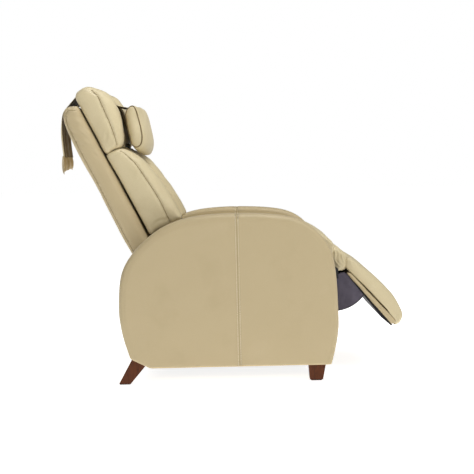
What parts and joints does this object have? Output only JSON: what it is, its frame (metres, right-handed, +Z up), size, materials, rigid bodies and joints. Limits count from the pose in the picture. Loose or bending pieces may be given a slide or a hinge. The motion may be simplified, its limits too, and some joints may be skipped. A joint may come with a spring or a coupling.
{
  "type": "massage chair",
  "caption": "Power reclining massage chair with padded rounded arms, reclining back, swinging leg rest and roller massage carriage.",
  "frame": {"origin": "middle of the chair's length and width, on the floor, in the half-reclined rest pose", "axes": "+X is the way the sitter faces, +Y is the sitter's left, +Z is up"},
  "size_m": [1.3476, 0.78, 1.1343],
  "materials": {
    "panel_leather": "satin, pale cream beige arm and shell covers",
    "cushion_leather": "satin, lighter cream cushions with soft wrinkles",
    "shroud_fabric": "matt dark purple grey",
    "suede": "matt brown suede underside with a tan hem",
    "dark_wood": "satin reddish brown stained hardwood",
    "plywood": "raw",
    "black_steel": "semi-matt black powder coat",
    "bright_steel": "ground",
    "motor_plastic": "matt moulded",
    "roller_plastic": "off-white nylon",
    "button_plastic": "soft gloss",
    "glide_plastic": "hard nylon"
  },
  "bodies": {
    "base": {"arm_cover_right": "panel_leather", "arm_cover_left": "panel_leather", "arm_frame_right": "plywood", "arm_frame_left": "plywood", "side_plate_right": "black_steel", "side_plate_left": "black_steel", "foot_front_right": "dark_wood", "foot_front_left": "dark_wood", "foot_rear_right": "dark_wood", "foot_rear_left": "dark_wood", "foot_glides": "glide_plastic", "front_rail": "black_steel", "rear_rail": "black_steel", "base_tray": "black_steel", "front_panel": "panel_leather", "rear_panel": "panel_leather", "mains_inlet": "motor_plastic", "power_box": "motor_plastic", "hinge_pins": "bright_steel", "seat_deck": "plywood", "seat_cushion": "cushion_leather", "knee_roll": "cushion_leather", "control_panel": "motor_plastic", "recline_actuator": "motor_plastic", "leg_actuator": "motor_plastic"},
    "back": {"back_frame": "black_steel", "back_bracket_right": "black_steel", "back_bracket_left": "black_steel", "recline_lever": "black_steel", "back_shell": "panel_leather", "head_bolster_right": "cushion_leather", "head_bolster_left": "cushion_leather", "back_bolster_right": "cushion_leather", "back_bolster_left": "cushion_leather", "back_centre_pad": "cushion_leather", "head_centre_pad": "cushion_leather", "lower_back_pad": "cushion_leather", "guide_rods": "bright_steel", "rail_blocks": "motor_plastic", "lift_motor": "motor_plastic"},
    "leg_rest": {"leg_frame": "black_steel", "leg_board": "panel_leather", "leg_cushion": "cushion_leather", "leg_shroud": "shroud_fabric"},
    "recline_rod": {"recline_rod": "bright_steel"},
    "leg_rod": {"leg_rod": "bright_steel"},
    "lead_screw": {"lead_screw": "bright_steel"},
    "carriage": {"massage_carriage": "motor_plastic"},
    "knead_right": {"roller_arm_right": "black_steel"},
    "knead_left": {"roller_arm_left": "black_steel"},
    "roller_upper_right": {"roller_upper_right": "roller_plastic"},
    "roller_lower_right": {"roller_lower_right": "roller_plastic"},
    "roller_upper_left": {"roller_upper_left": "roller_plastic"},
    "roller_lower_left": {"roller_lower_left": "roller_plastic"},
    "recline_button": {"recline_button": "button_plastic"},
    "leg_rest_button": {"leg_rest_button": "button_plastic"},
    "massage_button": {"massage_button": "button_plastic"},
    "pillow": {"neck_pillow": "cushion_leather", "pillow_flap": "suede"}
  },
  "joints": [
    {"name": "back_recline", "type": "hinge", "parent": "base", "child": "back", "pos_m": [-0.1485, 0, 0.45], "axis": [0, -1, 0], "range_deg": [-12, 30]},
    {"name": "leg_rest_swing", "type": "hinge", "parent": "base", "child": "leg_rest", "pos_m": [0.3785, 0, 0.391], "axis": [0, -1, 0], "range_deg": [-40, 38]},
    {"name": "recline_rod_slide", "type": "slide", "parent": "base", "child": "recline_rod", "axis": [1, 0, 0], "range_m": [-0.02297, 0.05741]},
    {"name": "leg_rod_slide", "type": "slide", "parent": "base", "child": "leg_rod", "axis": [1, 0, 0], "range_m": [-0.04992, 0.04742]},
    {"name": "carriage_travel", "type": "slide", "parent": "back", "child": "carriage", "axis": [-0.454, 0, 0.891], "range_m": [-0.19, 0.175]},
    {"name": "lead_screw_spin", "type": "hinge", "parent": "back", "child": "lead_screw", "pos_m": [-0.42488, 0, 0.803], "axis": [-0.454, 0, 0.891], "range_deg": [-3430, 3160]},
    {"name": "knead_right", "type": "hinge", "parent": "carriage", "child": "knead_right", "pos_m": [-0.40706, -0.056, 0.81208], "axis": [0.891, 0, 0.454], "range_deg": [-8, 8]},
    {"name": "knead_left", "type": "hinge", "parent": "carriage", "child": "knead_left", "pos_m": [-0.40706, 0.056, 0.81208], "axis": [0.891, 0, 0.454], "range_deg": [-8, 8]},
    {"name": "roller_upper_right_spin", "type": "hinge", "parent": "knead_right", "child": "roller_upper_right", "pos_m": [-0.44111, -0.073, 0.87891], "axis": [0, 1, 0], "continuous": true},
    {"name": "roller_lower_right_spin", "type": "hinge", "parent": "knead_right", "child": "roller_lower_right", "pos_m": [-0.37301, -0.073, 0.74525], "axis": [0, 1, 0], "continuous": true},
    {"name": "roller_upper_left_spin", "type": "hinge", "parent": "knead_left", "child": "roller_upper_left", "pos_m": [-0.44111, 0.073, 0.87891], "axis": [0, 1, 0], "continuous": true},
    {"name": "roller_lower_left_spin", "type": "hinge", "parent": "knead_left", "child": "roller_lower_left", "pos_m": [-0.37301, 0.073, 0.74525], "axis": [0, 1, 0], "continuous": true},
    {"name": "recline_button_press", "type": "slide", "parent": "base", "child": "recline_button", "axis": [0, -1, 0], "range_m": [0, 0.0015], "stiffness_N_per_m": 400, "springref_m": -0.0015},
    {"name": "leg_rest_button_press", "type": "slide", "parent": "base", "child": "leg_rest_button", "axis": [0, -1, 0], "range_m": [0, 0.0015], "stiffness_N_per_m": 400, "springref_m": -0.0015},
    {"name": "massage_button_press", "type": "slide", "parent": "base", "child": "massage_button", "axis": [0, -1, 0], "range_m": [0, 0.0015], "stiffness_N_per_m": 400, "springref_m": -0.0015},
    {"name": "pillow_lift", "type": "slide", "parent": "back", "child": "pillow", "axis": [-0.1564, 0, 0.9877], "range_m": [0, 0.12]}
  ],
  "couplings": [
    {"joint": "recline_rod_slide", "follows": "back_recline", "m_per_rad": 0.1075},
    {"joint": "leg_rod_slide", "follows": "leg_rest_swing", "m_per_rad": 0.0701},
    {"joint": "lead_screw_spin", "follows": "carriage_travel", "rad_per_m": 314.16},
    {"joint": "knead_left", "follows": "knead_right", "ratio": -1}
  ]
}
